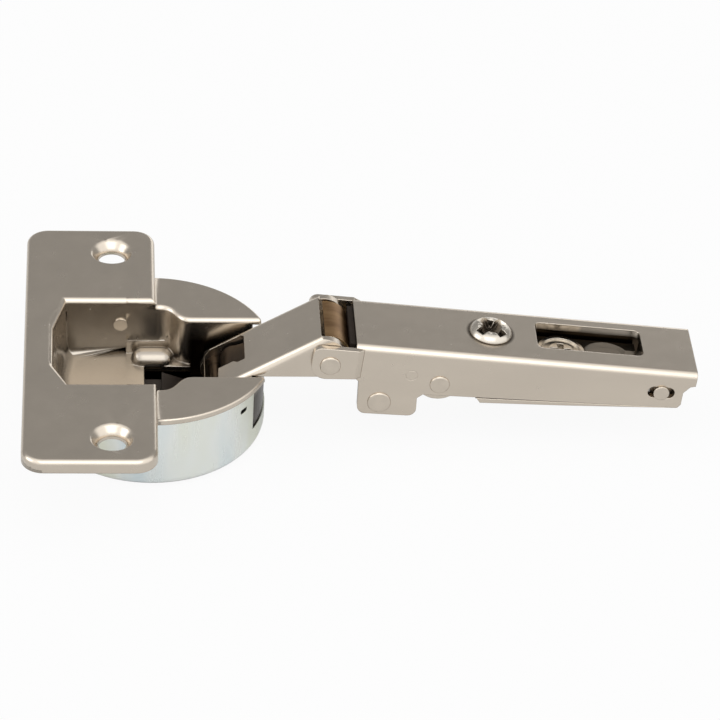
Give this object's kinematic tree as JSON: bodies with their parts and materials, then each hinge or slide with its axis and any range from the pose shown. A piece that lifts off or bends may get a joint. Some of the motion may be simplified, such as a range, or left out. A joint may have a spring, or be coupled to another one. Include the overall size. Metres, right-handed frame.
{
  "type": "soft-close concealed cabinet hinge",
  "caption": "Concealed cup hinge for a cabinet door: flanged cup, folding link pair, clip-on arm with side and depth adjusters, and a damper inside the cup.",
  "frame": {"origin": "on the cup's axis, in the plane of the door face under the flange", "axes": "+X from the cup along the arm with the door fully open, +Y along the flange's screw holes, +Z out of the mouth of the cup"},
  "size_m": [0.1024, 0.0604, 0.0193],
  "materials": {
    "nickel_plate": "satin nickel plate on pressed steel",
    "inner_plate": "satin nickel plate on the inner sheet",
    "zinc_plate": "pale zinc plate with faint streaks",
    "link_steel": "nickel plate, darker in the shade of the cup",
    "pin_steel": "bright nickel rivets",
    "screw_steel": "bright turned steel",
    "spring_steel": "bronze-brown tempered spring strip with bright cut edges",
    "spring_wire": "drawn wire",
    "black_plastic": "moulded black plastic"
  },
  "bodies": {
    "cup": {"cup_cover": "nickel_plate", "cup_can": "zinc_plate", "outer_link_cup_pin": "pin_steel", "inner_link_cup_pin": "pin_steel", "damper_housing": "black_plastic", "damper_cylinder": "screw_steel", "damper_spring": "spring_wire"},
    "outer_link": {"outer_link": "nickel_plate"},
    "inner_link": {"inner_link": "link_steel"},
    "arm": {"arm_channel": "nickel_plate", "outer_link_arm_pin": "pin_steel", "inner_link_arm_pin": "pin_steel", "front_hook_stud_near": "pin_steel", "front_hook_stud_far": "pin_steel", "adjuster_rivet_near": "pin_steel", "adjuster_rivet_far": "pin_steel", "spring_leaf_1": "spring_steel", "spring_leaf_2": "spring_steel", "spring_leaf_3": "spring_steel", "spring_saddle": "black_plastic", "latch_spring": "spring_wire"},
    "damper": {"damper_slider": "black_plastic", "damper_piston": "screw_steel"},
    "adjuster": {"adjusting_channel": "inner_plate"},
    "side_screw": {"side_adjusting_screw": "screw_steel"},
    "depth_cam": {"depth_cam": "screw_steel"},
    "latch": {"release_latch": "inner_plate", "latch_pins": "pin_steel"}
  },
  "joints": [
    {"name": "link_swing", "type": "hinge", "parent": "cup", "child": "outer_link", "pos_m": [0.01, 0, -0.0068], "axis": [0, -1, 0], "range_deg": [0, 129.4]},
    {"name": "arm_fold", "type": "hinge", "parent": "outer_link", "child": "arm", "pos_m": [0.0268, 0, 0.0027], "axis": [0, -1, 0], "range_deg": [-33.9, 0]},
    {"name": "inner_link_swing", "type": "hinge", "parent": "cup", "child": "inner_link", "pos_m": [0.01275, 0, -0.004], "axis": [0, -1, 0], "range_deg": [0, 130.8]},
    {"name": "damper_slide", "type": "slide", "parent": "cup", "child": "damper", "axis": [-1, 0, 0], "range_m": [0, 0.0024], "deforming": ["damper_spring"]},
    {"name": "side_screw_turn", "type": "hinge", "parent": "arm", "child": "side_screw", "pos_m": [0.05165, 0.0003, 0.00376], "axis": [0.0976, 0, 0.9952], "range_deg": [-94, 94]},
    {"name": "adjuster_tilt", "type": "hinge", "parent": "arm", "child": "adjuster", "pos_m": [0.04363, 0, -0.00119], "axis": [0, -1, 0], "range_deg": [-1.5, 1.5]},
    {"name": "depth_cam_turn", "type": "hinge", "parent": "adjuster", "child": "depth_cam", "pos_m": [0.06276, 0.0005, -0.0003], "axis": [0.0976, 0, 0.9952], "range_deg": [-170, 170]},
    {"name": "latch_slide", "type": "slide", "parent": "arm", "child": "latch", "axis": [-0.9952, 0, 0.0976], "range_m": [0, 0.0008], "stiffness_N_per_m": 1500, "springref_m": -0.0015, "deforming": ["latch_spring"]}
  ],
  "couplings": [
    {"joint": "arm_fold", "follows": "link_swing", "ratio": -0.2612},
    {"joint": "inner_link_swing", "follows": "link_swing", "ratio": 1.01},
    {"joint": "damper_slide", "follows": "link_swing", "m_per_rad": 0.00106},
    {"joint": "adjuster_tilt", "follows": "side_screw_turn", "ratio": 0.0159}
  ]
}
